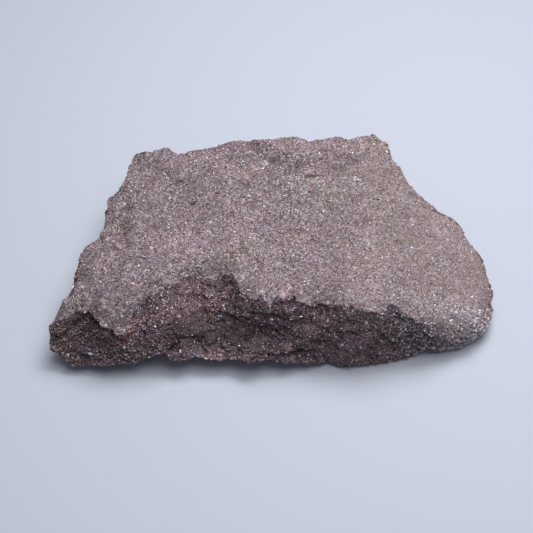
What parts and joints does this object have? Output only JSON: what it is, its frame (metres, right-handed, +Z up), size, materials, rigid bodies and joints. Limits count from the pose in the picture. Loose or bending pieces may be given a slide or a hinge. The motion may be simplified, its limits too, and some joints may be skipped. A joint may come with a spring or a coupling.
{
  "type": "tosudite sandstone specimen",
  "caption": "Broken slab of grey-mauve sandstone with a flat sandy bedding face and rough broken sides, a hand-sized mineral specimen that lies on its underside.",
  "frame": {"origin": "middle of the slab's outline, on the plane that it rests on", "axes": "+X along the slab's long side to the right, +Y to the back, +Z up out of the bedding face"},
  "size_m": [0.079, 0.045, 0.0166],
  "materials": {
    "sandstone": "matte"
  },
  "bodies": {
    "root": {"sandstone_slab": "sandstone"}
  },
  "joints": []
}
